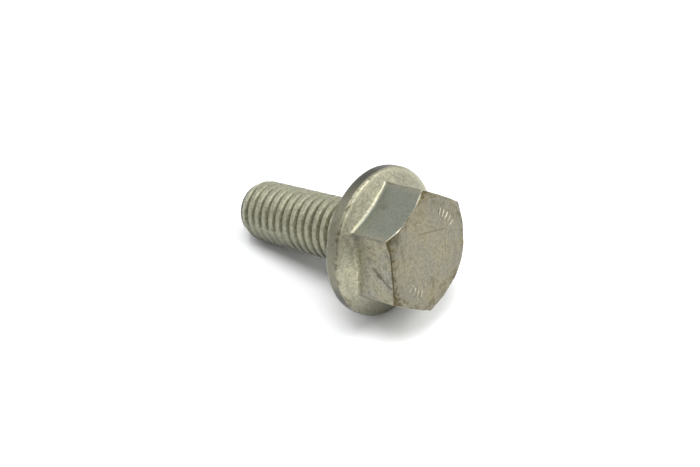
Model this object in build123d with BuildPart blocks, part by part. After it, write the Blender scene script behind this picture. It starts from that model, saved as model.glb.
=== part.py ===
from build123d import *
import os
from math import atan, ceil, cos, degrees, radians, sqrt, tan

# Hex flange bolt, M8 x 1.25 x 20, fully threaded but for a short neck under the flange. Millimetres.
# It stands on its head: the top of the head lies at z = 0 with the origin at its centre,
# and the shank points along +Z.

# ---- Thread: ISO metric coarse, right-hand ----
thread_diameter = 8.0
thread_pitch = 1.25
crest_allowance = 0.07
shank_length = 20.0
neck_length = 2.75
neck_bevel = 0.4
tip_chamfer_length = 1.3
tip_face_diameter = 6.2

# ---- Flange: a thick rounded rim, then a cone that rises to the hexagon ----
flange_diameter = 17.8
rim_height = 1.9
rim_under_radius = 0.8
rim_top_bevel = 0.2
cone_slope = 23.0

# ---- Hexagon: a corner points along +X ----
across_flats = 13.0
head_height = 8.0
hex_edge_radius = 0.3
hex_foot_bevel = 0.3
chamfer_slope = 30.0
chamfer_start = 0.12

# ---- Worked out from the sizes above ----
flank_angle = radians(30.0)
thread_triangle = thread_pitch * sqrt(3.0) / 2.0
nominal_radius = thread_diameter / 2.0
crest_radius = nominal_radius - crest_allowance
pitch_radius = nominal_radius - thread_triangle * 3.0 / 8.0
sharp_root_radius = nominal_radius - thread_triangle * 7.0 / 8.0
root_truncation = thread_triangle / 6.0
flange_radius = flange_diameter / 2.0
flat_radius = across_flats / 2.0
corner_radius = flat_radius / cos(radians(30.0))
cone_rise = tan(radians(cone_slope))
head_overlap = rim_height / 2.0
tool_clearance = 0.06
edge_margin = 0.02

# ---- Heights above the top of the head ----
bearing_z = head_height
join_z = bearing_z - head_overlap
rim_z = bearing_z - rim_height
neck_end_z = bearing_z + neck_length
shoulder_z = neck_end_z + crest_radius - pitch_radius
full_depth_z = neck_end_z + thread_pitch
tip_z = bearing_z + shank_length

# ---- Shank blank: bevel under the head, neck, crest cylinder and chamfered tip ----
bevel_foot = pitch_radius + neck_bevel
bevel_end_z = bearing_z + neck_bevel
with BuildPart() as blank:
    with BuildSketch(Plane.XZ):
        with BuildLine():
            Polyline(
                (0, join_z),
                (bevel_foot, join_z),
                (bevel_foot, bearing_z),
                (pitch_radius, bevel_end_z),
                (pitch_radius, neck_end_z),
                (crest_radius, shoulder_z),
                (crest_radius, tip_z - tip_chamfer_length),
                (tip_face_diameter / 2.0, tip_z),
                (0, tip_z),
                close=True,
            )
        make_face()
    revolve(axis=Axis.Z)

# ---- Thread groove profile: 60 degree flanks and a flat root ----
floor_radius = sharp_root_radius + root_truncation
floor_half_width = root_truncation * tan(flank_angle)
tool_radius = crest_radius + tool_clearance
tool_half_width = (tool_radius - sharp_root_radius) * tan(flank_angle)
with BuildSketch(Plane.XZ) as groove_profile:
    with BuildLine():
        Polyline(
            (floor_radius, full_depth_z - floor_half_width),
            (tool_radius, full_depth_z - tool_half_width),
            (tool_radius, full_depth_z + tool_half_width),
            (floor_radius, full_depth_z + floor_half_width),
            close=True,
        )
    make_face()

# ---- One turn of the groove at full depth ----
with BuildPart() as groove_turn:
    with BuildLine() as turn_path:
        Helix(thread_pitch, thread_pitch, floor_radius, center=(0, 0, full_depth_z))
    sweep(groove_profile.sketch, path=turn_path.line, is_frenet=True)

# ---- Run-out: one more turn towards the head, on a cone that climbs out of the shank ----
run_out_cone = atan((tool_radius - floor_radius) / thread_pitch)
with BuildPart() as groove_run_out:
    with BuildLine() as run_out_path:
        Helix(
            thread_pitch / cos(run_out_cone),
            thread_pitch,
            floor_radius,
            center=(0, 0, full_depth_z),
            direction=(0, 0, -1),
            cone_angle=degrees(run_out_cone),
        )
    sweep(groove_profile.sketch, path=run_out_path.line.rotate(Axis.Z, 180.0), is_frenet=True)

# ---- Threaded shank: the turn repeats along the axis until the groove leaves the tip ----
turn_count = ceil((tip_z + tool_half_width - full_depth_z) / thread_pitch)
with BuildPart() as threaded_shank:
    add(blank.part)
    with Locations(*[(0, 0, turn * thread_pitch) for turn in range(turn_count)]):
        add(groove_turn.part, mode=Mode.SUBTRACT)
    add(groove_run_out.part, mode=Mode.SUBTRACT)

# ---- Hexagon: rounded edges, and corners chamfered at the top of the head ----
chamfer_radius = flat_radius + chamfer_start
chamfer_height = (corner_radius - chamfer_radius) * tan(radians(chamfer_slope))
with BuildPart() as hexagon:
    with BuildSketch(Plane.XY):
        RegularPolygon(flat_radius, 6, major_radius=False)
    extrude(amount=join_z)
    fillet(hexagon.edges().filter_by(Axis.Z), hex_edge_radius)
    with BuildSketch(Plane.XZ):
        with BuildLine():
            Polyline(
                (chamfer_radius, 0),
                (corner_radius, chamfer_height),
                (corner_radius, 0),
                close=True,
            )
        make_face()
    revolve(axis=Axis.Z, mode=Mode.SUBTRACT)

# ---- Head: the flange turned round the axis, the hexagon on it and a bevel at its foot ----
cone_end_radius = flat_radius - hex_foot_bevel
foot_at_corner = rim_z - (flange_radius - corner_radius) * cone_rise
foot_at_flat = rim_z - (flange_radius - flat_radius) * cone_rise
cone_end_z = rim_z - (flange_radius - cone_end_radius) * cone_rise
with BuildPart() as head:
    with BuildSketch(Plane.XZ) as flange_profile:
        with BuildLine():
            Polyline(
                (0, bearing_z),
                (flange_radius, bearing_z),
                (flange_radius, rim_z),
                (cone_end_radius, cone_end_z),
                (0, cone_end_z),
                close=True,
            )
        make_face()
        fillet(flange_profile.vertices().group_by(Axis.X)[-1].sort_by(Axis.Y)[-1], rim_under_radius)
        chamfer(flange_profile.vertices().group_by(Axis.X)[-1].sort_by(Axis.Y)[0], rim_top_bevel)
    revolve(axis=Axis.Z)
    add(hexagon.part)
    foot_edges = head.edges().filter_by_position(
        Axis.Z, foot_at_flat - edge_margin, foot_at_corner + edge_margin
    )
    chamfer(foot_edges, hex_foot_bevel)

# ---- The bolt is one forged and rolled piece ----
with BuildPart() as flange_bolt:
    add(head.part)
    add(threaded_shank.part)
flange_bolt.part.label = "flange_bolt"

os.makedirs("parts", exist_ok=True)
export_step(flange_bolt.part, "parts/flange_bolt.step")
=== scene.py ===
import logging
import math
from dataclasses import dataclass
from enum import Enum

import bpy
from mathutils import Matrix, Vector


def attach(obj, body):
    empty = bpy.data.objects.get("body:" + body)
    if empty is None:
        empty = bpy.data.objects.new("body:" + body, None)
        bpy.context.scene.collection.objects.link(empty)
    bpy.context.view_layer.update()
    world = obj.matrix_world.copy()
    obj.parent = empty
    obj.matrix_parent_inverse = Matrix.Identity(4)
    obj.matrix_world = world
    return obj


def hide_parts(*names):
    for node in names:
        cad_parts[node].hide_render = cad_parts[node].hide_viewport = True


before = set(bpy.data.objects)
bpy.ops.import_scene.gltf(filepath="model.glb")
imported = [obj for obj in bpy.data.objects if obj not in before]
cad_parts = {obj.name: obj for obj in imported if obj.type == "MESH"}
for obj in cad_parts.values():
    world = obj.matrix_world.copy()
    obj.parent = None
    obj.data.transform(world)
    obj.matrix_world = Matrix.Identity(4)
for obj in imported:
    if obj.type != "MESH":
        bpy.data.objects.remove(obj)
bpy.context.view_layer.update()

LOG = logging.getLogger("flange_bolt")
MM = 0.001
BODY = "root"
CAD_NODE = "flange_bolt"

Point2 = tuple[float, float]
Point3 = tuple[float, float, float]
Colour = tuple[float, float, float]
Socket = bpy.types.NodeSocket
Tree = bpy.types.NodeTree
Material = bpy.types.Material
Object = bpy.types.Object
Sockets = bpy.types.bpy_prop_collection


class Zone(Enum):
    """The areas of the bolt that were made in different ways, each with its own colours of zinc."""

    HEAD_TOP = 0
    FLATS = 1
    FLANGE = 2
    THREAD = 3


# ---- node helpers


@dataclass
class NodeBench:
    """Places and links nodes in one tree."""

    tree: Tree
    column: int = 0

    def add(self, kind: str, **settings: object) -> bpy.types.Node:
        """Adds a node.

        Args:
            kind: The node's type name.
            **settings: Node properties to set.

        Returns:
            The new node.
        """
        node = self.tree.nodes.new(kind)
        for name, value in settings.items():
            setattr(node, name, value)
        node.location = (200 * self.column, 0)
        self.column += 1
        return node

    def link(self, source: Socket, target: Socket) -> None:
        """Links two sockets."""
        self.tree.links.new(source, target)

    def feed(self, kind: str, inputs: dict[str | int, object], **settings: object) -> bpy.types.Node:
        """Adds a node and fills its inputs.

        Args:
            kind: The node's type name.
            inputs: Values or sockets by the name or number of the input.
            **settings: Node properties to set.

        Returns:
            The new node.
        """
        node = self.add(kind, **settings)
        for key, value in inputs.items():
            if isinstance(value, Socket):
                self.link(value, node.inputs[key])
            else:
                node.inputs[key].default_value = value
        return node

    def math(self, operation: str, *values: object, clamp: bool = False) -> Socket:
        """Adds a Math node, fed in order with numbers or sockets, and returns its result."""
        inputs = dict(enumerate(values))
        return self.feed("ShaderNodeMath", inputs, operation=operation, use_clamp=clamp).outputs[0]

    def ramp(self, value: Socket, low: float, high: float) -> Socket:
        """Maps low..high to 0..1 with a smooth start and end."""
        inputs = {"Value": value, "From Min": low, "From Max": high}
        return self.feed("ShaderNodeMapRange", inputs, interpolation_type="SMOOTHSTEP").outputs[0]

    def vector(self, x: object = 0.0, y: object = 0.0, z: object = 0.0) -> Socket:
        """Joins three numbers or sockets into a vector."""
        return self.feed("ShaderNodeCombineXYZ", {"X": x, "Y": y, "Z": z}).outputs[0]

    def parts(self) -> Sockets:
        """The X, Y and Z sockets of each point's position."""
        position = self.add("GeometryNodeInputPosition").outputs[0]
        return self.feed("ShaderNodeSeparateXYZ", {0: position}).outputs

    def shape(self, kind: str, geometry: Socket, **inputs: object) -> Socket:
        """Adds a GeometryNode of a kind, with inputs by name, and returns its geometry."""
        return self.feed(f"GeometryNode{kind}", {"Geometry": geometry, **inputs}).outputs["Geometry"]

    def store(self, geometry: Socket, name: str, value: object) -> Socket:
        """Stores a number on each point under a name and returns the geometry."""
        return self.shape("StoreNamedAttribute", geometry, Name=name, Value=value)

    def finished(self, geometry: Socket, finish: Material) -> Socket:
        """Shades a shape smooth, makes it real and sets its material."""
        real = self.shape("RealizeInstances", self.shape("SetShadeSmooth", geometry))
        return self.shape("SetMaterial", real, Material=finish)


def node_group(
    kind: str, name: str, inputs: dict[str, object], outputs: dict[str, str]
) -> tuple[NodeBench, Sockets, Sockets]:
    """Starts a node group with named inputs and outputs.

    Args:
        kind: Geometry or Shader.
        name: The group's name.
        inputs: Default values by name: a number, three for a vector or four for a colour.
        outputs: The kind of each output by name.

    Returns:
        The group's bench, the sockets of its inputs and those of its outputs.
    """
    tree = bpy.data.node_groups.new(name, f"{kind}NodeTree")
    for label, value in inputs.items():
        size = len(value) if isinstance(value, tuple) else 1
        socket_type = {1: "NodeSocketFloat", 3: "NodeSocketVector", 4: "NodeSocketColor"}[size]
        socket = tree.interface.new_socket(label, in_out="INPUT", socket_type=socket_type)
        socket.default_value = value
    for label, sort in outputs.items():
        tree.interface.new_socket(label, in_out="OUTPUT", socket_type=f"NodeSocket{sort}")
    bench = NodeBench(tree)
    return bench, bench.add("NodeGroupInput").outputs, bench.add("NodeGroupOutput").inputs


def clean_bench(owner: Material | bpy.types.World) -> NodeBench:
    """Empties the nodes of a material or world.

    Args:
        owner: The material or world.

    Returns:
        A bench on its node tree.
    """
    owner.use_nodes = True
    owner.node_tree.nodes.clear()
    return NodeBench(owner.node_tree)


def add_object(name: str, data: bpy.types.ID) -> Object:
    """Puts a mesh, light or camera into the scene.

    Args:
        name: The object's name.
        data: What it shows.

    Returns:
        The object.
    """
    thing = bpy.data.objects.new(name, data)
    bpy.context.scene.collection.objects.link(thing)
    return thing


def bake_nodes(group: Tree, name: str) -> Object:
    """Runs a geometry node group once and keeps its mesh as a plain object.

    Args:
        group: The geometry node group; its inputs are set by their identifiers.
        name: The name of the object and its mesh.

    Returns:
        The object.
    """
    holder = add_object("holder", bpy.data.meshes.new("holder"))
    modifier = holder.modifiers.new("nodes", "NODES")
    modifier.node_group = group
    for item in group.interface.items_tree:
        if item.item_type == "SOCKET" and item.in_out == "INPUT":
            modifier[item.identifier] = item.default_value
    bpy.context.view_layer.update()
    graph = bpy.context.evaluated_depsgraph_get()
    mesh = bpy.data.meshes.new_from_object(holder.evaluated_get(graph))
    mesh.name = name
    bpy.data.objects.remove(holder)
    return add_object(name, mesh)


# ---- head


@dataclass(frozen=True)
class Band:
    """A stretch round the axis, in degrees: its middle, its half width and how square it is."""

    centre: float
    width: float
    power: float = 2.0

    def mask(self, azimuth: float) -> float:
        """1 at the middle, fading to about a third one width off it."""
        off = abs((azimuth - self.centre + 180.0) % 360.0 - 180.0)
        return math.exp(-((off / self.width) ** self.power))


@dataclass
class Head:
    """Hexagon, flange cone and rim as one turned and forged surface, in millimetres."""

    across_flats: float = 13.0
    height: float = 8.0
    edge_radius: float = 0.34
    chamfer_edge_radius: float = 0.5
    top_edge_radius: float = 0.26
    foot_radius: float = 0.5
    chamfer_start: float = 0.12
    chamfer_slope: float = 30.0
    flange_radius: float = 8.9
    rim_height: float = 1.9
    rim_edge_radius: float = 0.5
    rim_under_radius: float = 0.8
    cone_slope: float = 23.0
    worn_corner: Band = Band(120.0, 9.0)
    worn_corner_drop: float = 0.35
    worn_bevel: Band = Band(92.0, 34.0, 10.0)
    worn_bevel_depth: float = 0.42
    grimy_flat: Band = Band(92.0, 33.0, 8.0)
    # Painted reflection: a darker, cooler grey on the flat round 150 degrees, standing in for the dark
    # surroundings it mirrors.
    painted_reflection_flat: Band = Band(150.0, 29.5, 12.0)
    # Painted reflection: the rim's wall is darker grey all round, most round 175 degrees.
    painted_reflection_rim: Band = Band(175.0, 60.0)
    # Painted shade on the lower rim and the cone's outer part round 62 degrees, standing in for the shadowed
    # floor they mirror.
    shaded_rim: Band = Band(62.0, 24.0)
    speckled_rim: Band = Band(130.0, 62.0)
    # Painted shade: darker and greyer on the side that rests on the floor, where the bolt's shadow falls.
    floor_side_shade: Band = Band(8.0, 57.0, 6.0)
    # Painted shade: a darker patch on the flange cone round 220 degrees.
    painted_shade_cone: Band = Band(220.0, 38.0)
    bevel_depth: float = 0.05
    flat_dirt_depth: float = 0.8
    corner_dirt_width: float = 7.0
    cone_shade_start: float = 7.3
    cone_shade_length: float = 0.8
    rim_shade_depth: float = 0.3
    steps_between: tuple[int, ...] = (14, 3, 10, 6, 3, 6)
    steps_round: int = 720

    def hex_radius(self, azimuth: float) -> float:
        """Distance from the axis to the rounded hexagon.

        Args:
            azimuth: Angle round the axis in degrees; corners lie at 0, 60 and so on.

        Returns:
            The distance in millimetres.
        """
        half = self.across_flats / 2
        half_side = math.radians(30.0)
        off_flat = math.radians((azimuth % 60.0) - 30.0)
        corner = half / math.cos(half_side)
        reach = half * math.tan(half_side) - self.edge_radius * math.tan(half_side)
        if abs(half * math.tan(off_flat)) <= reach:
            return half / math.cos(off_flat)
        centre = corner - self.edge_radius / math.cos(half_side)
        off_corner = half_side - abs(off_flat)
        across = centre * math.sin(off_corner)
        return centre * math.cos(off_corner) + math.sqrt(self.edge_radius**2 - across**2)

    def worn_drop(self, azimuth: float) -> float:
        """How far the chamfer is worn back at an azimuth, in millimetres."""
        return self.worn_corner_drop * self.worn_corner.mask(azimuth)

    def profile(self, azimuth: float) -> list[tuple[float, float, float, Zone]]:
        """The section at one azimuth, from the centre of the head's top to the bearing face.

        Args:
            azimuth: Angle round the axis in degrees.

        Returns:
            Points as radius, height, edge wear and painted highlight, and zone. That edge value is 1 in the
            middle of a rounded edge.
        """
        side = self.hex_radius(azimuth)
        drop = self.worn_drop(azimuth)
        start = self.across_flats / 2 + self.chamfer_start - drop * 1.2
        bevel = self.worn_bevel_depth * self.worn_bevel.mask(azimuth)
        straight = (self.across_flats / 2 - bevel) / math.cos(math.radians(azimuth % 60.0 - 30.0))
        start = min(start, side - 0.02, straight + (side - straight) * (0.0 if bevel > 0.05 else 1.0))
        slope = math.tan(math.radians(self.chamfer_slope))
        edge_z = max((side - start) * slope, 0.012)
        rise = math.tan(math.radians(self.cone_slope))
        rim_z = self.height - self.rim_height
        foot_z = rim_z - (self.flange_radius - side) * rise
        corners = [
            (0.0, 0.0, 0.0, 1, Zone.HEAD_TOP),
            (start, 0.0, self.chamfer_edge_radius, 7, Zone.HEAD_TOP),
            (side, edge_z, self.top_edge_radius, 6, Zone.FLATS),
            (side, foot_z, self.foot_radius, 8, Zone.FLANGE),
            (self.flange_radius, rim_z, self.rim_edge_radius, 6, Zone.FLANGE),
            (self.flange_radius, self.height, self.rim_under_radius, 9, Zone.FLANGE),
            (0.0, self.height, 0.0, 1, Zone.FLANGE),
        ]
        points: list[tuple[float, float, float, Zone]] = [(0.0, 0.0, 0.0, Zone.HEAD_TOP)]
        for index in range(1, len(corners)):
            before, here = corners[index - 1], corners[index]
            after = corners[index + 1] if index + 1 < len(corners) else None
            arc = [(here[0], here[1])]
            if after is not None:
                arc = round_corner(before[:2], here[:2], after[:2], here[2], here[3])
            last = points[-1]
            steps = self.steps_between[index - 1]
            for step in range(1, steps):
                share = step / steps
                radius = last[0] + (arc[0][0] - last[0]) * share
                height = last[1] + (arc[0][1] - last[1]) * share
                points.append((radius, height, 0.0, before[4]))
            middle = (len(arc) - 1) / 2 or 1.0
            convex = index in (1, 2, 4, 5)
            for place, (radius, height) in enumerate(arc):
                wear_and_painted_light = 1.0 - abs(place - middle) / middle if convex and len(arc) > 1 else 0.0
                points.append((radius, height, wear_and_painted_light, before[4] if place < middle else here[4]))
        return points

    def build(self, finishes: dict[Zone, Material]) -> Object:
        """Makes the head's mesh.

        Args:
            finishes: The material of each zone.

        Returns:
            The head object.
        """
        columns = [self.profile(360.0 * step / self.steps_round) for step in range(self.steps_round)]
        rows = len(columns[0])
        verts: list[Point3] = [(0.0, 0.0, 0.0), (0.0, 0.0, self.height * MM)]
        wear_and_painted_light = [(0.0, 0.0, 0.0), (0.0, 0.0, 0.0)]
        for step, column in enumerate(columns):
            azimuth = 360.0 * step / self.steps_round
            angle = math.radians(azimuth)
            for spot in column[1:-1]:
                radius, height = spot[0], spot[1]
                verts.append((radius * math.cos(angle) * MM, radius * math.sin(angle) * MM, height * MM))
                wear_and_painted_light.append(self.wear_and_painted_light_at(azimuth, *spot))
        inner = rows - 2
        faces: list[tuple[int, ...]] = []
        zones: list[int] = []
        for step in range(self.steps_round):
            here = 2 + step * inner
            there = 2 + ((step + 1) % self.steps_round) * inner
            faces.append((0, there, here))
            zones.append(Zone.HEAD_TOP.value)
            for row in range(inner - 1):
                faces.append((here + row, there + row, there + row + 1, here + row + 1))
                zones.append(columns[step][row + 1][3].value)
            faces.append((1, here + inner - 1, there + inner - 1))
            zones.append(Zone.FLANGE.value)
        mesh = bpy.data.meshes.new("bolt_head")
        mesh.from_pydata(verts, [], faces)
        self.store_wear_and_painted_light(mesh, wear_and_painted_light)
        for zone in (Zone.HEAD_TOP, Zone.FLATS, Zone.FLANGE):
            mesh.materials.append(finishes[zone])
        mesh.polygons.foreach_set("material_index", zones)
        mesh.polygons.foreach_set("use_smooth", [True] * len(faces))
        mesh.update()
        return add_object("bolt_head", mesh)

    def wear_and_painted_light_at(self, azimuth: float, radius: float, height: float, worn_and_sheen: float, zone: Zone) -> Point3:
        """How rubbed and bright at its edges, how dirty and how dark from painted shade and painted
        reflection the head is at a point.

        Args:
            azimuth: Angle round the axis in degrees.
            radius: Distance from the axis in millimetres.
            height: Distance below the head's top in millimetres.
            worn_and_sheen: 1 in the middle of a rounded edge, 0 on a face.
            zone: The area that the point lies in.

        Returns:
            The values of three attributes: the edge's wear with painted highlight, dirt with painted shade on
                the floor side, and painted shade and reflection.
        """
        grimy = self.grimy_flat.mask(azimuth)
        if zone is Zone.HEAD_TOP:
            # The top's rounded edges are lighter, rubbed wear with a painted highlight, except along the
            # grimy flat.
            rub_and_sheen = worn_and_sheen * (1.0 - grimy) * (0.25 if height < self.bevel_depth else 1.0)
            line = 1.8 * worn_and_sheen * grimy if height > self.bevel_depth else 0.0
            return rub_and_sheen, 0.9 * (radius / self.across_flats * 2) ** 6 + line, 0.0
        if zone is Zone.FLATS:
            off_corner = abs((azimuth + 30.0) % 60.0 - 30.0)
            near_top = math.exp(-((height / self.flat_dirt_depth) ** 2))
            corner = math.exp(-((off_corner / self.corner_dirt_width) ** 2)) * (0.25 + 0.7 * grimy * near_top)
            dirt_and_shade = max(corner, grimy * near_top * (0.45 + 1.8 * worn_and_sheen))
            # Rubbed wear with a painted highlight on the flats' edges, and painted reflection on the flat
            # round 150 degrees.
            return worn_and_sheen * (1.0 - grimy), dirt_and_shade, self.painted_reflection_flat.mask(azimuth)
        # Painted shade on the rim and the cone's outer part round 62 degrees.
        shaded = self.shaded_rim.mask(azimuth)
        # Painted shade on the side that rests on the floor.
        floor_shade = self.floor_side_shade.mask(azimuth)
        if radius < self.flange_radius - self.rim_edge_radius * 1.4:
            outward = min(max((radius - self.cone_shade_start) / self.cone_shade_length, 0.0), 1.0)
            # Painted shade on the cone: a darker patch round 220 degrees, and darker toward the rim round 62
            # degrees and on the floor side.
            cone_patch_shade = 0.34 * self.painted_shade_cone.mask(azimuth)
            return 0.0, 0.4 * floor_shade * outward, max(0.4 * shaded * outward, 0.5 * floor_shade, cone_patch_shade)
        speckled = self.speckled_rim.mask(azimuth)
        # The rim's wall is darker grey all round: painted reflection, most round 175 degrees, and painted
        # shade round 62 degrees and on the floor side.
        rim_painted_shade = max(self.painted_reflection_rim.mask(azimuth), shaded, 0.8 * floor_shade, 0.6)
        below_edge = min(max((height - self.height + self.rim_height) / self.rim_shade_depth, 0.0), 1.0)
        # Dirt and specks on the rim, with painted shade added on the floor side; the edges' painted highlight
        # is kept off that side.
        dirt_and_shade = (0.25 + 0.45 * worn_and_sheen) * (0.7 + speckled) + 0.3 * floor_shade + 0.45 * worn_and_sheen * speckled
        return worn_and_sheen * (1.0 - 0.8 * speckled) * (1.0 - floor_shade), dirt_and_shade, max(rim_painted_shade * below_edge, 0.6 * floor_shade)

    def store_wear_and_painted_light(self, mesh: bpy.types.Mesh, wear_and_painted_light: list[Point3]) -> None:
        """Stores each point's three values on the mesh: edge wear with painted highlight, dirt with painted
        shade, and painted shade and reflection.
        """
        for name, values in zip(("edge", "dirt_and_shade", "painted_shade"), zip(*wear_and_painted_light)):
            mesh.attributes.new(name, "FLOAT", "POINT").data.foreach_set("value", values)


# The largest share of a straight run that a rounding may take.
LONGEST_CUT = 0.48


def round_corner(before: Point2, here: Point2, after: Point2, radius: float, count: int) -> list[Point2]:
    """Rounds the corner between two straight runs.

    Args:
        before: The point the first run comes from.
        here: The corner.
        after: The point the second run goes to.
        radius: The rounding radius; it shrinks where it would take more than LONGEST_CUT of a run.
        count: The number of points on the arc.

    Returns:
        Points along the arc.
    """
    a, b, c = Vector(before), Vector(here), Vector(after)
    first, second = (a - b), (c - b)
    half_angle = first.angle(second) / 2
    if count < 2 or radius <= 0.0 or half_angle > math.radians(89.9):
        return [here] * max(count, 1)
    cut = min(radius / math.tan(half_angle), LONGEST_CUT * first.length, LONGEST_CUT * second.length)
    radius = cut * math.tan(half_angle)
    first.normalize()
    second.normalize()
    centre = b + (first + second).normalized() * (radius / math.sin(half_angle))
    start, end = b + first * cut - centre, b + second * cut - centre
    span = start.angle(end)
    points = []
    for step in range(count):
        share = step / (count - 1)
        spoke = (start * math.sin((1 - share) * span) + end * math.sin(share * span)) / math.sin(span)
        points.append(tuple(centre + spoke))
    return points


# ---- threaded shank


@dataclass
class ShankPoint:
    """What the thread's nodes know of each point of the shank, in turns, millimetres and degrees."""

    bench: NodeBench
    given: Sockets
    along: Socket
    helix_z: Socket
    height: Socket
    degrees: Socket
    on_skin: Socket


@dataclass
class Shank:
    """Neck, rolled thread and tip, grown by Geometry Nodes along the helix, in millimetres."""

    pitch: float = 1.25
    crest_radius: float = 3.93
    root_radius: float = 3.36
    root_half_width: float = 0.03
    flank_slope: float = 2.1
    crest_crown: float = 0.03
    crest_softness: float = 0.02
    root_softness: float = 0.03
    neck_radius: float = 3.594
    neck_softness: float = 0.06
    base_z: float = 7.4
    neck_end_z: float = 10.75
    full_depth_z: float = 12.0
    run_out_rise: float = 0.9
    tip_z: float = 28.0
    tip_length: float = 1.5
    tip_radius: float = 3.24
    tip_softness: float = 0.1
    tip_edge_length: float = 0.2
    tip_edge_drop: float = 0.08
    steps_round: int = 192
    rows_per_turn: int = 24
    spare_rows: int = 12
    cap_slope: float = 6.0
    pole_radius: float = 0.03
    merge_distance: float = 0.002
    coat_grain: float = 2.2
    coat_roughness: float = 0.12
    coat_depth: float = 0.62
    filled_azimuths: Point2 = (58.0, 86.0)
    filled_heights: Point2 = (19.5, 26.6)
    filled_rise: float = 0.48
    filled_wobble: float = 12.0
    filled_fade: Point2 = (12.0, 0.9)
    nick_grain: float = 5.5
    nick_span: Point2 = (0.7, 0.78)
    nick_depth: float = 0.09
    # The lighter line on one edge of each crest is rubbed wear with a painted highlight.
    crest_edge_share: float = 0.79
    crest_edge_sharpness: float = 22.0
    crest_edge_tip_fade: Point2 = (0.4, 1.2)
    crest_edge_run_in: float = 0.8
    # Painted shade: the shank is darker on the side that rests on the floor, fading out between these
    # azimuths.
    floor_shade_fade: Point2 = (45.0, 100.0)
    floor_shade_return: Point2 = (290.0, 330.0)
    floor_shade_strength: float = 0.8

    def build(self, finish: Material) -> Object:
        """Makes the shank and bakes it to a plain mesh."""
        return bake_nodes(self.thread_group(finish), "bolt_shank")

    @staticmethod
    def window(bench: NodeBench, value: Socket, span: Point2, fade: float) -> Socket:
        """A mask that is 1 inside a span and fades to 0 outside it.

        Args:
            bench: Where the nodes go.
            value: What is tested.
            span: The span's two ends.
            fade: How far the fade reaches out of the span.

        Returns:
            The mask.
        """
        rise = bench.ramp(value, span[0] - fade, span[0])
        fall = bench.ramp(value, span[1], span[1] + fade)
        return bench.math("MULTIPLY", rise, bench.math("SUBTRACT", 1.0, fall))

    def thread_group(self, finish: Material) -> Tree:
        """The node group that turns a flat grid into the threaded shank.

        Args:
            finish: The material it sets.

        Returns:
            The geometry node group.
        """
        sizes = {
            "Pitch": self.pitch,
            "Crest Radius": self.crest_radius,
            "Root Radius": self.root_radius,
            "Root Half Width": self.root_half_width,
            "Flank Slope": self.flank_slope,
            "Crest Crown": self.crest_crown,
            "Neck Radius": self.neck_radius,
            "Base Height": self.base_z,
            "Neck End": self.neck_end_z,
            "Full Depth Height": self.full_depth_z,
            "Tip Height": self.tip_z,
            "Tip Length": self.tip_length,
            "Tip Radius": self.tip_radius,
        }
        bench, given, out = node_group("Geometry", "rolled_thread", sizes, {"Geometry": "Geometry"})
        calc = bench.math

        turns = (self.tip_z - self.base_z) / self.pitch + 2.0
        rows = int(turns * self.rows_per_turn) + 2 * self.spare_rows
        counts = {"Vertices X": self.steps_round + 1, "Vertices Y": rows + 1}
        grid = bench.feed("GeometryNodeMeshGrid", {"Size X": 1.0, "Size Y": 1.0, **counts})
        place = bench.parts()
        around = calc("ADD", place["X"], 0.5)
        row = calc("MULTIPLY", calc("ADD", place["Y"], 0.5), float(rows) / self.rows_per_turn)
        first_row = calc("SUBTRACT", row, 1.0 + self.spare_rows / self.rows_per_turn)
        helix_turn = calc("ADD", first_row, around)
        helix_z = calc("MULTIPLY_ADD", helix_turn, given["Pitch"], given["Base Height"])
        height = calc("MINIMUM", calc("MAXIMUM", helix_z, given["Base Height"]), given["Tip Height"])
        run_in = calc("SUBTRACT", given["Base Height"], given["Full Depth Height"])
        along = calc("ADD", first_row, calc("DIVIDE", run_in, given["Pitch"]))
        degrees = calc("MULTIPLY", around, 360.0)
        turn = calc("MULTIPLY", around, math.tau)
        cosine, sine = calc("COSINE", turn), calc("SINE", turn)

        on_skin = bench.vector(cosine, sine, calc("MULTIPLY", height, 0.25))
        point = ShankPoint(bench, given, along, helix_z, height, degrees, on_skin)
        radius = self.close_ends(point, self.coat_groove(point, self.cut_groove(point)))
        reach = calc("MULTIPLY", radius, MM)
        spot = bench.vector(
            calc("MULTIPLY", reach, cosine), calc("MULTIPLY", reach, sine), calc("MULTIPLY", height, MM)
        )

        depth = calc("SUBTRACT", given["Crest Radius"], given["Root Radius"])
        sunk = calc("DIVIDE", calc("SUBTRACT", given["Crest Radius"], radius), depth, clamp=True)
        # Painted shade on the side of the shank that rests on the floor.
        clear_side = bench.ramp(degrees, *self.floor_shade_fade)
        clear_side = calc("SUBTRACT", clear_side, bench.ramp(degrees, *self.floor_shade_return))
        floor_shade = calc("MULTIPLY_ADD", clear_side, -self.floor_shade_strength, self.floor_shade_strength)
        skin = bench.store(grid.outputs["Mesh"], "groove", sunk)
        # Rubbed wear with a painted highlight on one edge of each crest.
        skin = bench.store(skin, "edge", self.crest_edge_wear_and_highlight(point))
        skin = bench.store(skin, "painted_shade", floor_shade)
        skin = bench.shape("SetPosition", skin, Position=spot)
        skin = bench.shape("MergeByDistance", skin, Distance=self.merge_distance * MM)
        bench.link(bench.finished(skin, finish), out["Geometry"])
        return bench.tree

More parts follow.
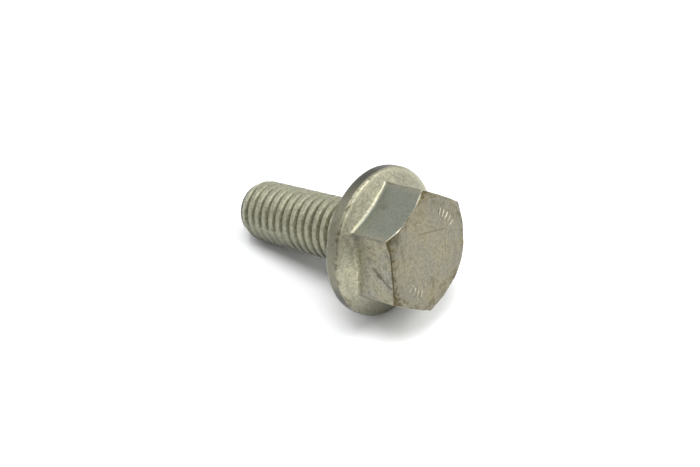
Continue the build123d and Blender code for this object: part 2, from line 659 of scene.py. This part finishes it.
    def cut_groove(self, point: ShankPoint) -> Socket:
        """Cuts the groove, which runs out toward the neck.

        Args:
            point: The point's sockets; its turns are whole in the middle of a groove.

        Returns:
            The clean thread's radius.
        """
        calc, given = point.bench.math, point.given
        phase = calc("PINGPONG", point.along, 0.5)
        off_crest = calc("MULTIPLY_ADD", phase, -2.0, 1.0)
        droop = calc("MULTIPLY", given["Crest Crown"], calc("MULTIPLY", off_crest, off_crest))
        crown = calc("SUBTRACT", given["Crest Radius"], droop)
        off_root = calc("MULTIPLY", calc("SUBTRACT", phase, given["Root Half Width"]), given["Pitch"])
        flank = calc("MULTIPLY_ADD", off_root, given["Flank Slope"], given["Root Radius"])
        flank = calc("SMOOTH_MAX", flank, given["Root Radius"], self.root_softness)
        groove = calc("SMOOTH_MIN", flank, crown, self.crest_softness)
        fade = calc("DIVIDE", calc("SUBTRACT", given["Full Depth Height"], point.height), given["Pitch"])
        shallow = calc("MULTIPLY", calc("MAXIMUM", fade, 0.0), self.run_out_rise)
        return calc("MINIMUM", calc("ADD", groove, shallow), given["Crest Radius"])

    def coat_groove(self, point: ShankPoint, groove: Socket) -> Socket:
        """Fills the groove with uneven coating, most of it in one patch, and nicks the crests.

        Args:
            point: The point's sockets.
            groove: The clean thread's radius.

        Returns:
            The coated thread's radius.
        """
        bench, calc = point.bench, point.bench.math
        rough = noise(bench, point.on_skin, self.coat_grain, 3.0)
        wobbly = calc("MULTIPLY_ADD", rough, self.filled_wobble, point.degrees)
        filled = self.window(bench, wobbly, self.filled_azimuths, self.filled_fade[0])
        rough_z = calc("ADD", point.height, rough)
        raised = self.window(bench, rough_z, self.filled_heights, self.filled_fade[1])
        filled = calc("MULTIPLY", filled, raised)
        floor = calc("SUBTRACT", point.given["Crest Radius"], self.coat_depth)
        level = calc("MULTIPLY_ADD", filled, self.filled_rise, floor)
        coat = calc("MULTIPLY_ADD", calc("SUBTRACT", rough, 0.5), self.coat_roughness, level)
        nick = bench.ramp(noise(bench, point.on_skin, self.nick_grain, 2.0), *self.nick_span)
        return calc("SUBTRACT", calc("MAXIMUM", groove, coat), calc("MULTIPLY", nick, self.nick_depth))

    def close_ends(self, point: ShankPoint, groove: Socket) -> Socket:
        """Draws the thread in to the neck and the tip, and closes both ends at the axis.

        Args:
            point: The point's sockets; its height on the helix runs on past both ends.
            groove: The coated thread's radius.

        Returns:
            The shank's radius.
        """
        calc, given, height = point.bench.math, point.given, point.height
        past_neck = calc("MAXIMUM", calc("SUBTRACT", height, given["Neck End"]), 0.0)
        radius = calc("SMOOTH_MIN", groove, calc("ADD", past_neck, given["Neck Radius"]), self.neck_softness)
        left = calc("SUBTRACT", given["Tip Height"], height)
        taper = calc("SUBTRACT", given["Crest Radius"], given["Tip Radius"])
        cone = calc("MULTIPLY_ADD", left, calc("DIVIDE", taper, given["Tip Length"]), given["Tip Radius"])
        radius = calc("SMOOTH_MIN", radius, cone, self.tip_softness)
        past_tip = calc("MAXIMUM", calc("SUBTRACT", point.helix_z, given["Tip Height"]), 0.0)
        past_base = calc("MAXIMUM", calc("SUBTRACT", given["Base Height"], point.helix_z), 0.0)
        shrink = calc("MULTIPLY", calc("ADD", past_tip, past_base), self.cap_slope)
        radius = calc("MAXIMUM", calc("SUBTRACT", radius, shrink), 0.0)
        off_tip = calc("MINIMUM", calc("DIVIDE", left, self.tip_edge_length), 1.0)
        tip_round = calc("POWER", calc("SUBTRACT", 1.0, off_tip), 2.0)
        tip_round = calc("MULTIPLY", tip_round, self.tip_edge_drop)
        radius = calc("MAXIMUM", calc("SUBTRACT", radius, tip_round), 0.0)
        return calc("MULTIPLY", radius, calc("GREATER_THAN", radius, self.pole_radius))

    def crest_edge_wear_and_highlight(self, point: ShankPoint) -> Socket:
        """1 on one edge of each crest, which is rubbed and given a painted highlight, 0 elsewhere and near
        both ends of the thread.

        Args:
            point: The point's sockets.

        Returns:
            The edge's wear and painted highlight.
        """
        bench, calc = point.bench, point.bench.math
        off_edge = calc("ABSOLUTE", calc("SUBTRACT", calc("FRACT", point.along), self.crest_edge_share))
        on_edge = calc("SUBTRACT", 1.0, calc("MULTIPLY", off_edge, self.crest_edge_sharpness), clamp=True)
        left = calc("SUBTRACT", point.given["Tip Height"], point.height)
        on_edge = calc("MULTIPLY", on_edge, bench.ramp(left, *self.crest_edge_tip_fade))
        run_in = self.full_depth_z - self.crest_edge_run_in
        return calc("MULTIPLY", on_edge, bench.ramp(point.height, run_in, self.full_depth_z))


# ---- ticks


@dataclass
class HeadTicks:
    """Two opposite arcs of plain raised ticks on the head's top, in millimetres and degrees."""

    per_arc: int = 5
    arc_radius: float = 4.7
    first_arc: float = 45.0
    step: float = 9.0
    length: float = 0.95
    width: float = 0.2
    rise: float = 0.07
    squareness: float = 0.6
    segments: int = 20
    rings: int = 10

    def build(self, finish: Material) -> Object:
        """Makes the ticks and bakes them to a plain mesh."""
        return bake_nodes(self.tick_group(finish), "head_ticks")

    def tick_group(self, finish: Material) -> Tree:
        """The node group that sets rounded bars along two arcs.

        Args:
            finish: The material it sets.

        Returns:
            The geometry node group.
        """
        sizes = {
            "Arc Radius": self.arc_radius,
            "First Arc": math.radians(self.first_arc),
            "Step": math.radians(self.step),
            "Length": self.length,
            "Width": self.width,
            "Rise": self.rise,
        }
        bench, given, out = node_group("Geometry", "raised_ticks", sizes, {"Geometry": "Geometry"})
        calc = bench.math
        points = bench.feed("GeometryNodeMeshLine", {"Count": 2 * self.per_arc})
        index = bench.add("GeometryNodeInputIndex").outputs[0]
        arc = calc("FLOOR", calc("DIVIDE", index, float(self.per_arc)))
        place = calc("SUBTRACT", calc("MODULO", index, float(self.per_arc)), (self.per_arc - 1) / 2)
        middle = calc("MULTIPLY_ADD", arc, math.pi, given["First Arc"])
        angle = calc("MULTIPLY_ADD", place, given["Step"], middle)
        reach = calc("MULTIPLY", given["Arc Radius"], MM)
        across, along = (calc("MULTIPLY", reach, calc(side, angle)) for side in ("COSINE", "SINE"))
        spread = bench.shape("SetPosition", points.outputs["Mesh"], Position=bench.vector(across, along))

        inputs = {"Segments": self.segments, "Rings": self.rings, "Radius": 1.0}
        ball = bench.feed("GeometryNodeMeshUVSphere", inputs)
        parts = bench.parts()
        sides = []
        for axis, size, share in (("X", "Length", 0.5), ("Y", "Width", 0.5), ("Z", "Rise", 1.0)):
            blunt = calc("POWER", calc("ABSOLUTE", parts[axis]), self.squareness)
            full = calc("MULTIPLY", calc("SIGN", parts[axis]), blunt)
            sides.append(calc("MULTIPLY", full, calc("MULTIPLY", given[size], share * MM)))
        bar = bench.shape("SetPosition", ball.outputs["Mesh"], Position=bench.vector(*sides))
        bar = bench.store(bar, "edge", 1.0)
        inputs = {"Points": spread, "Instance": bar, "Rotation": bench.vector(z=angle)}
        bars = bench.feed("GeometryNodeInstanceOnPoints", inputs).outputs["Instances"]
        bench.link(bench.finished(bars, finish), out["Geometry"])
        return bench.tree


# ---- finishes


def noise(bench: NodeBench, vector: Socket, scale: float, detail: float, warp: float = 0.0) -> Socket:
    """A noise pattern: its features per unit, its octaves and its distortion."""
    inputs = {"Scale": scale, "Detail": detail, "Distortion": warp, "Vector": vector}
    return bench.feed("ShaderNodeTexNoise", inputs).outputs["Fac"]


def blend_colour(bench: NodeBench, factor: Socket, first: Socket, second: Socket) -> Socket:
    """Blends two colour sockets by a factor and returns the result."""
    inputs = {"Factor": factor, "A": first, "B": second}
    return bench.feed("ShaderNodeMix", inputs, data_type="RGBA").outputs["Result"]


def scale_vector(bench: NodeBench, vector: Socket, factor: Socket) -> Socket:
    """Multiplies a vector or colour by a number."""
    inputs = {0: vector, "Scale": factor}
    return bench.feed("ShaderNodeVectorMath", inputs, operation="SCALE").outputs["Vector"]


def uneven(bench: NodeBench, pattern: Socket, amount: object) -> Socket:
    """A tone round 1 that follows a noise pattern."""
    return bench.math("MULTIPLY_ADD", bench.math("SUBTRACT", pattern, 0.5), amount, 1.0)


GREY = (0.5, 0.5, 0.5, 1.0)
ORIGIN = (0.0, 0.0, 0.0)
TONE_AND_HEIGHT = {"Color": "Color", "Height": "Float"}


@dataclass(frozen=True)
class ZincPattern:
    """How large the marks of worn zinc are, in features per metre, and where each one sets in."""

    cloud_scale: float = 330.0
    patch_scale: float = 900.0
    fleck_scale: float = 2100.0
    grain_scale: float = 4200.0
    cloud_span: Point2 = (0.36, 0.66)
    blotch_span: Point2 = (0.53, 0.7)
    speck_span: Point2 = (0.63, 0.74)
    broken_span: Point2 = (0.46, 0.62)
    solid_dirt_span: Point2 = (0.95, 1.7)
    hollow_span: Point2 = (0.62, 1.0)
    rub_span: Point2 = (0.35, 0.62)
    fine_contrast: float = 2.8
    patch_contrast: float = 0.8

    def build(self) -> Tree:
        """Makes the worn zinc that every zone shares: clouds, grain, stains, dirt with some painted shade,
        darkening toward the bottom of grooves, bright edges of wear with a painted highlight, and a darker
        tint of painted shade and reflection.

        Returns:
            The shader node group.
        """
        inputs: dict[str, object] = {"Vector": ORIGIN}
        inputs.update(dict.fromkeys(("Edge", "Groove", "Dirt_and_shade", "Painted_shade"), 0.0))
        inputs.update(dict.fromkeys(("Base", "Cloud", "Stain", "Worn_and_sheen", "Painted_shade Tint"), GREY))
        inputs.update(dict.fromkeys(("Stain Amount", "Grain Amount", "Edge Amount"), 0.5))
        inputs["Roughness"] = 0.45
        outputs = {"Color": "Color", "Roughness": "Float", "Height": "Float"}
        bench, given, out = node_group("Shader", "zinc_wear_and_painted_light", inputs, outputs)
        calc = bench.math
        spot = given["Vector"]

        clouds = noise(bench, spot, self.cloud_scale, 6.0, 0.6)
        patches = noise(bench, spot, self.patch_scale, 5.0, 1.2)
        grain = noise(bench, spot, self.grain_scale, 4.0)
        fleck = noise(bench, spot, self.fleck_scale, 3.0)
        colour = blend_colour(bench, bench.ramp(clouds, *self.cloud_span), given["Base"], given["Cloud"])
        # Painted shade and painted reflection: blends toward a darker tint where the mesh asks for it.
        colour = blend_colour(bench, given["Painted_shade"], colour, given["Painted_shade Tint"])

        blotch = calc("ADD", calc("MULTIPLY", patches, 0.7), calc("MULTIPLY", clouds, 0.3))
        stain = calc("MULTIPLY", bench.ramp(blotch, *self.blotch_span), given["Stain Amount"], clamp=True)
        amount = calc("ADD", given["Stain Amount"], 0.1)
        specks = calc("MULTIPLY", bench.ramp(fleck, *self.speck_span), amount)
        # Dirt, which on the floor side of the flange also carries painted shade.
        broken = calc("MULTIPLY_ADD", patches, 0.45, calc("MULTIPLY", fleck, 0.55))
        broken = calc("MULTIPLY", given["Dirt_and_shade"], bench.ramp(broken, *self.broken_span))
        dirt_and_shade = calc("MAXIMUM", broken, bench.ramp(given["Dirt_and_shade"], *self.solid_dirt_span), clamp=True)
        hollow = calc("MULTIPLY", bench.ramp(given["Groove"], *self.hollow_span), 0.9)
        for mask in (stain, specks, dirt_and_shade, hollow):
            colour = blend_colour(bench, mask, colour, given["Stain"])

        # Lighter rounded edges: rubbed wear with a painted highlight.
        rub_and_sheen = calc("MULTIPLY", given["Edge"], calc("ADD", bench.ramp(patches, *self.rub_span), 0.25))
        rub_and_sheen = calc("MULTIPLY", rub_and_sheen, given["Edge Amount"], clamp=True)
        colour = blend_colour(bench, rub_and_sheen, colour, given["Worn_and_sheen"])

        grit = calc("MULTIPLY", given["Grain Amount"], calc("MULTIPLY_ADD", given["Painted_shade"], -0.6, 1.0))
        fine = calc("MULTIPLY", grit, self.fine_contrast)
        tone = calc("MULTIPLY", uneven(bench, grain, fine), uneven(bench, fleck, fine))
        coarse = calc("MULTIPLY", given["Grain Amount"], self.patch_contrast)
        tone = calc("MULTIPLY", tone, uneven(bench, patches, coarse))
        bench.link(scale_vector(bench, colour, tone), out["Color"])

        rough = calc("ADD", given["Roughness"], calc("MULTIPLY", calc("SUBTRACT", patches, 0.5), 0.25))
        rough = calc("ADD", rough, calc("MULTIPLY", calc("MAXIMUM", stain, dirt_and_shade), 0.2))
        bench.link(calc("SUBTRACT", rough, calc("MULTIPLY", rub_and_sheen, 0.12)), out["Roughness"])
        height = calc("MULTIPLY_ADD", patches, 0.55, calc("MULTIPLY", grain, 0.35))
        bench.link(calc("SUBTRACT", height, calc("MULTIPLY", dirt_and_shade, 0.25)), out["Height"])
        return bench.tree


def streak_group() -> Tree:
    """Fine scratches that run one way, as a tone and a height.

    Returns:
        The shader node group.
    """
    inputs = {
        "Vector": ORIGIN,
        "Direction": ORIGIN,
        "Stretch": (3000.0, 250.0, 250.0),
        "Amount": 0.2,
        "Color": GREY,
    }
    bench, given, out = node_group("Shader", "fine_streaks", inputs, TONE_AND_HEIGHT)
    aims = {"Vector": given["Vector"], "Rotation": given["Direction"]}
    turned = bench.feed("ShaderNodeVectorRotate", aims, rotation_type="EULER_XYZ").outputs[0]
    pull = bench.feed("ShaderNodeVectorMath", {0: turned, 1: given["Stretch"]}, operation="MULTIPLY")
    lines = noise(bench, pull.outputs["Vector"], 1.0, 4.0)
    tone = uneven(bench, lines, given["Amount"])
    bench.link(scale_vector(bench, given["Color"], tone), out["Color"])
    bench.link(bench.math("MULTIPLY", lines, given["Amount"]), out["Height"])
    return bench.tree


def mark_group() -> Tree:
    """A ragged scratch or smear along a straight line between two points.

    Returns:
        The shader node group.
    """
    inputs = {
        "Vector": ORIGIN,
        "Start": ORIGIN,
        "End": ORIGIN,
        "Width": 0.0002,
        "Strength": 1.0,
        "Tint": (0.1, 0.09, 0.06, 1.0),
        "Color": GREY,
        "Height": 0.0,
    }
    bench, given, out = node_group("Shader", "line_mark", inputs, TONE_AND_HEIGHT)
    calc = bench.math

    def vector(operation: str, first: Socket, second: Socket, result: str = "Value") -> Socket:
        """Adds a Vector Math node and returns the named output."""
        return bench.feed("ShaderNodeVectorMath", {0: first, 1: second}, operation=operation).outputs[result]

    wobble = noise(bench, given["Vector"], 2600.0, 4.0, 0.8)
    run = vector("SUBTRACT", given["End"], given["Start"], "Vector")
    offset = vector("SUBTRACT", given["Vector"], given["Start"], "Vector")
    share = calc("DIVIDE", vector("DOT_PRODUCT", offset, run), vector("DOT_PRODUCT", run, run), clamp=True)
    gap = vector("DISTANCE", offset, scale_vector(bench, run, share))
    reach = calc("MULTIPLY", given["Width"], calc("MULTIPLY_ADD", wobble, 2.4, -0.2))
    inside = calc("SUBTRACT", 1.0, calc("DIVIDE", gap, calc("MAXIMUM", reach, 0.00001)), clamp=True)
    mask = calc("MULTIPLY", calc("POWER", inside, 0.6), given["Strength"], clamp=True)
    bench.link(blend_colour(bench, mask, given["Color"], given["Tint"]), out["Color"])
    bench.link(calc("SUBTRACT", given["Height"], mask), out["Height"])
    return bench.tree


@dataclass(frozen=True)
class LineMark:
    """One scratch or smear: its ends and width in millimetres, its strength and colour."""

    start: Point3
    end: Point3
    width: float
    strength: float
    tint: Colour


@dataclass(frozen=True)
class ZincFinish:
    """Dull olive-grey zinc on steel, as one zone of the bolt shows it."""

    name: str
    base: Colour
    cloud: Colour
    stain: Colour
    # The colour of rubbed edges, which also carries a painted highlight.
    worn_and_sheen: Colour
    # The darker colour of painted shade and painted reflection.
    painted_shade: Colour
    stain_amount: float
    roughness: float = 0.38
    metallic: float = 0.9
    grain_amount: float = 0.35
    edge_amount: float = 0.8
    relief: float = 0.00003
    relief_strength: float = 0.6
    streak_turn: Point3 = ORIGIN
    streak_stretch: Point3 = (3000.0, 250.0, 250.0)
    streak_amount: float = 0.0
    marks: tuple[LineMark, ...] = ()

    def build(self, groups: dict[str, Tree]) -> Material:
        """Makes the material.

        Args:
            groups: The shared shader node groups by name.

        Returns:
            The material.
        """
        material = bpy.data.materials.new(self.name)
        bench = clean_bench(material)
        coords = bench.add("ShaderNodeTexCoord").outputs["Object"]
        inputs: dict[str, object] = {
            "Vector": coords,
            "Painted_shade Tint": (*self.painted_shade, 1.0),
            "Stain Amount": self.stain_amount,
            "Grain Amount": self.grain_amount,
            "Edge Amount": self.edge_amount,
            "Roughness": self.roughness,
        }
        for name in ("edge", "groove", "dirt_and_shade", "painted_shade"):
            inputs[name.capitalize()] = bench.add("ShaderNodeAttribute", attribute_name=name).outputs["Fac"]
        for name in ("base", "cloud", "stain", "worn_and_sheen"):
            inputs[name.capitalize()] = (*getattr(self, name), 1.0)
        zinc = bench.feed("ShaderNodeGroup", inputs, node_tree=groups["zinc"])
        colour, height = zinc.outputs["Color"], zinc.outputs["Height"]

        if self.streak_amount:
            inputs = {
                "Vector": coords,
                "Color": colour,
                "Direction": self.streak_turn,
                "Stretch": self.streak_stretch,
                "Amount": self.streak_amount,
            }
            streak = bench.feed("ShaderNodeGroup", inputs, node_tree=groups["streak"])
            colour = streak.outputs["Color"]
            height = bench.math("ADD", height, streak.outputs["Height"])
        for line in self.marks:
            inputs = {
                "Vector": coords,
                "Color": colour,
                "Height": height,
                "Start": tuple(value * MM for value in line.start),
                "End": tuple(value * MM for value in line.end),
                "Width": line.width * MM,
                "Strength": line.strength,
                "Tint": (*line.tint, 1.0),
            }
            mark = bench.feed("ShaderNodeGroup", inputs, node_tree=groups["mark"])
            colour, height = mark.outputs["Color"], mark.outputs["Height"]

        relief = {"Strength": self.relief_strength, "Distance": self.relief, "Height": height}
        inputs = {
            "Metallic": self.metallic,
            "Base Color": colour,
            "Roughness": zinc.outputs["Roughness"],
            "Normal": bench.feed("ShaderNodeBump", relief).outputs[0],
        }
        shader = bench.feed("ShaderNodeBsdfPrincipled", inputs)
        bench.feed("ShaderNodeOutputMaterial", {"Surface": shader.outputs[0]})
        return material


BROWN: Colour = (0.09, 0.078, 0.046)
# Rubbed edges with a painted highlight.
BRIGHT: Colour = (0.56, 0.53, 0.43)
DUST: Colour = (0.13, 0.11, 0.062)
GOUGE: Colour = (0.085, 0.075, 0.05)
FINISHES = {
    Zone.HEAD_TOP: ZincFinish(
        name="zinc_head_top",
        base=(0.228, 0.215, 0.162),
        cloud=(0.258, 0.235, 0.155),
        stain=(0.114, 0.0958, 0.0479),
        worn_and_sheen=BRIGHT,
        painted_shade=(0.2, 0.21, 0.19),
        roughness=0.42,
        stain_amount=0.35,
        grain_amount=0.28,
        edge_amount=0.7,
        streak_turn=(0.0, 0.0, math.radians(80.0)),
        streak_stretch=(4200.0, 420.0, 420.0),
        streak_amount=0.5,
        marks=(
            LineMark((-2.95, 1.87, 0.0), (-1.84, -3.01, 0.0), 0.12, 0.55, DUST),
            LineMark((-0.57, -2.83, 0.0), (0.79, -2.84, 0.0), 0.10, 0.55, DUST),
            LineMark((-3.64, 0.58, 0.0), (-1.79, -2.36, 0.0), 0.08, 0.4, DUST),
            LineMark((3.24, 0.04, 0.0), (4.09, -0.2, 0.0), 0.45, 0.6, DUST),
            LineMark((4.86, -1.42, 0.0), (4.76, -2.41, 0.0), 0.4, 0.6, DUST),
            LineMark((-2.64, 4.99, 0.0), (-0.96, 4.75, 0.0), 0.3, 0.5, DUST),
        ),
    ),
    Zone.FLATS: ZincFinish(
        name="zinc_flats",
        base=(0.25, 0.242, 0.195),
        cloud=(0.283, 0.265, 0.18),
        stain=BROWN,
        worn_and_sheen=BRIGHT,
        # Painted reflection on the flat round 150 degrees: a darker, cooler grey.
        painted_shade=(0.157, 0.166, 0.137),
        stain_amount=0.3,
        marks=(
            LineMark((0.0, 6.5, 2.65), (0.6, 6.5, 1.95), 0.42, 0.7, GOUGE),
            LineMark((0.5, 6.5, 2.1), (1.76, 6.5, 0.57), 0.26, 0.8, GOUGE),
        ),
    ),
    Zone.FLANGE: ZincFinish(
        name="zinc_flange",
        base=(0.404, 0.393, 0.289),
        cloud=(0.455, 0.44, 0.312),
        stain=BROWN,
        worn_and_sheen=BRIGHT,
        # Painted shade and painted reflection on the rim and the floor side: nearly black.
        painted_shade=(0.0657, 0.0681, 0.0558),
        stain_amount=0.12,
        edge_amount=0.3,
    ),
    Zone.THREAD: ZincFinish(
        name="zinc_thread",
        base=(0.294, 0.294, 0.215),
        cloud=(0.329, 0.324, 0.235),
        stain=(0.065, 0.063, 0.041),
        # A light colour for the crest edges' rubbed wear and painted highlight.
        worn_and_sheen=(0.706, 0.706, 0.584),
        # Painted shade on the side that rests on the floor.
        painted_shade=(0.125, 0.125, 0.096),
        metallic=0.85,
        roughness=0.47,
        stain_amount=0.2,
        edge_amount=1.1,
    ),
}


# ---- studio


@dataclass(frozen=True)
class SoftBox:
    """A square light: its place along the floor's axes in millimetres, its side in metres and its watts."""

    name: str
    spot: Point3
    size: float
    power: float


@dataclass
class Studio:
    """Floor, lights, world and camera round the bolt, which lies on its rim and tip, in millimetres."""

    up: Point3 = (-0.9549, 0.1632, -0.2482)
    floor_distance: float = 10.433
    floor_half_side: float = 600.0
    camera: Point3 = (-40.735, 67.983, -52.875)
    camera_side: Point3 = (0.09732, -0.65545, -0.74894)
    camera_clip: float = 5.0
    aim: Point3 = (-0.79, 1.63, 10.39)
    focal_length: float = 43.8
    sensor_width: float = 36.0
    fill_strength: float = 0.07
    fill_colour: Colour = (0.95, 0.98, 1.0)
    dim_strength: float = 0.15
    dim_side: Point3 = (0.5, -0.8, 0.9)
    dim_span: Point2 = (0.1, 0.6)
    paper_lit: Colour = (0.89, 0.9, 0.92)
    paper_seen: Colour = (1.2, 1.205, 1.22)
    boxes: tuple[SoftBox, ...] = (
        SoftBox("overhead", (-25.0, -40.0, 296.0), 0.17, 0.57),
        SoftBox("overhead_soft", (-25.0, -40.0, 296.0), 0.6, 0.62),
        SoftBox("right", (212.0, 0.0, 212.0), 0.16, 0.32),
        SoftBox("right_low", (268.0, 83.0, 101.0), 0.14, 0.06),
        SoftBox("right_front", (182.0, -152.0, 182.0), 0.14, 0.17),
        SoftBox("left_back", (-182.0, 152.0, 182.0), 0.14, 0.05),
    )

    def build(self) -> None:
        """Makes the whole studio."""
        self.make_world()
        self.make_floor()
        for box in self.boxes:
            self.make_light(box)
        self.make_camera()

    def axes(self) -> Matrix:
        """The floor's axes: right in the picture, away from the camera, and up.

        Returns:
            A 3 by 3 matrix whose columns are those axes.
        """
        up = Vector(self.up).normalized()
        away = Vector(self.aim) - Vector(self.camera)
        away = (away - up * away.dot(up)).normalized()
        right = away.cross(up)
        return Matrix((right, away, up)).transposed()

    def place(self, right: float, away: float, up: float) -> Vector:
        """A point given along the floor's axes from the bolt's middle, in metres."""
        return (Vector(self.aim) + self.axes() @ Vector((right, away, up))) * MM

    def make_world(self) -> None:
        """A weak even fill that shows as white, and to mirrored rays turns grey toward one side."""
        world = bpy.data.worlds.new("studio")
        bpy.context.scene.world = world
        bench = clean_bench(world)
        inputs = {"Color": (*self.fill_colour, 1.0), "Strength": self.fill_strength}
        fill = bench.feed("ShaderNodeBackground", inputs).outputs[0]
        side = (self.axes() @ Vector(self.dim_side)).normalized()
        ray = bench.add("ShaderNodeTexCoord").outputs["Generated"]
        toward = bench.feed("ShaderNodeVectorMath", {0: ray, 1: side}, operation="DOT_PRODUCT")
        mirrored = bench.math("SUBTRACT", 1.0, bench.add("ShaderNodeLightPath").outputs["Is Camera Ray"])
        dim = bench.math("MULTIPLY", bench.ramp(toward.outputs["Value"], *self.dim_span), mirrored)
        dim = bench.math("MULTIPLY", dim, 1.0 - self.dim_strength)
        inputs = {"Color": (1.0, 1.0, 1.0, 1.0), "Strength": bench.math("SUBTRACT", 1.0, dim)}
        white = bench.feed("ShaderNodeBackground", inputs).outputs[0]
        mix = bench.feed("ShaderNodeMixShader", {0: self.seen_share(bench), 1: fill, 2: white})
        bench.feed("ShaderNodeOutputWorld", {"Surface": mix.outputs[0]})

    @staticmethod
    def seen_share(bench: NodeBench) -> Socket:
        """1 for the rays that show the backdrop: the camera's, and those through metal and glass.

        Args:
            bench: Where the nodes go.

        Returns:
            The share.
        """
        path = bench.add("ShaderNodeLightPath")
        mirrored = bench.math("MAXIMUM", path.outputs["Is Glossy Ray"], path.outputs["Is Transmission Ray"])
        return bench.math("MAXIMUM", path.outputs["Is Camera Ray"], mirrored)

    def make_floor(self) -> None:
        """A pale sheet under the bolt that is clear when seen from below."""
        mesh = bpy.data.meshes.new("floor")
        reach = self.floor_half_side * MM
        corners = [(-reach, -reach, 0), (reach, -reach, 0), (reach, reach, 0), (-reach, reach, 0)]
        mesh.from_pydata(corners, [], [(0, 1, 2, 3)])
        floor = add_object("floor", mesh)
        up = Vector(self.up).normalized()
        floor.matrix_world = Matrix.Translation(-up * self.floor_distance * MM) @ self.axes().to_4x4()
        material = bpy.data.materials.new("floor_paper")
        bench = clean_bench(material)
        lit, seen = (
            bench.feed("ShaderNodeBsdfDiffuse", {"Color": (*colour, 1.0)}).outputs[0]
            for colour in (self.paper_lit, self.paper_seen)
        )
        paper = bench.feed("ShaderNodeMixShader", {0: self.seen_share(bench), 1: lit, 2: seen}).outputs[0]
        clear = bench.add("ShaderNodeBsdfTransparent").outputs[0]
        below = bench.add("ShaderNodeNewGeometry").outputs["Backfacing"]
        mix = bench.feed("ShaderNodeMixShader", {0: below, 1: paper, 2: clear})
        bench.feed("ShaderNodeOutputMaterial", {"Surface": mix.outputs[0]})
        mesh.materials.append(material)

    def make_light(self, box: SoftBox) -> None:
        """Adds a square light that faces the bolt.

        Args:
            box: Its place, size and power.
        """
        lamp = bpy.data.lights.new(box.name, "AREA")
        lamp.size = box.size
        lamp.energy = box.power
        light = add_object(box.name, lamp)
        where = self.place(*box.spot)
        light.location = where
        light.rotation_euler = (where - self.place(0, 0, 0)).to_track_quat("Z", "Y").to_euler()

    def make_camera(self) -> None:
        """The camera, aimed at the bolt's middle and turned so that its own side axis is kept."""
        data = bpy.data.cameras.new("camera")
        data.lens = self.focal_length
        data.sensor_width = self.sensor_width
        data.clip_start = self.camera_clip * MM
        camera = add_object("camera", data)
        back = (Vector(self.camera) - Vector(self.aim)).normalized()
        side = Vector(self.camera_side)
        side = (side - back * side.dot(back)).normalized()
        turn = Matrix((side, back.cross(side), back)).transposed().to_4x4()
        camera.matrix_world = Matrix.Translation(Vector(self.camera) * MM) @ turn
        scene = bpy.context.scene
        scene.camera = camera
        scene.view_settings.view_transform = "Standard"


# ---- assembly


def dress_piece(piece: Object) -> None:
    """Hands a finished piece to the frame.

    Args:
        piece: The piece, at the origin and unturned.
    """
    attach(piece, BODY)
    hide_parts(CAD_NODE)
    LOG.info("%s: %d faces", piece.name, len(piece.data.polygons))


def main() -> None:
    """Builds the bolt's head and shank and the studio round them."""
    logging.basicConfig(level=logging.INFO)
    groups = {"zinc": ZincPattern().build(), "streak": streak_group(), "mark": mark_group()}
    finishes = {zone: finish.build(groups) for zone, finish in FINISHES.items()}
    dress_piece(Head().build(finishes))
    dress_piece(HeadTicks().build(finishes[Zone.HEAD_TOP]))
    dress_piece(Shank().build(finishes[Zone.THREAD]))
    Studio().build()


if __name__ == "__main__":
    main()
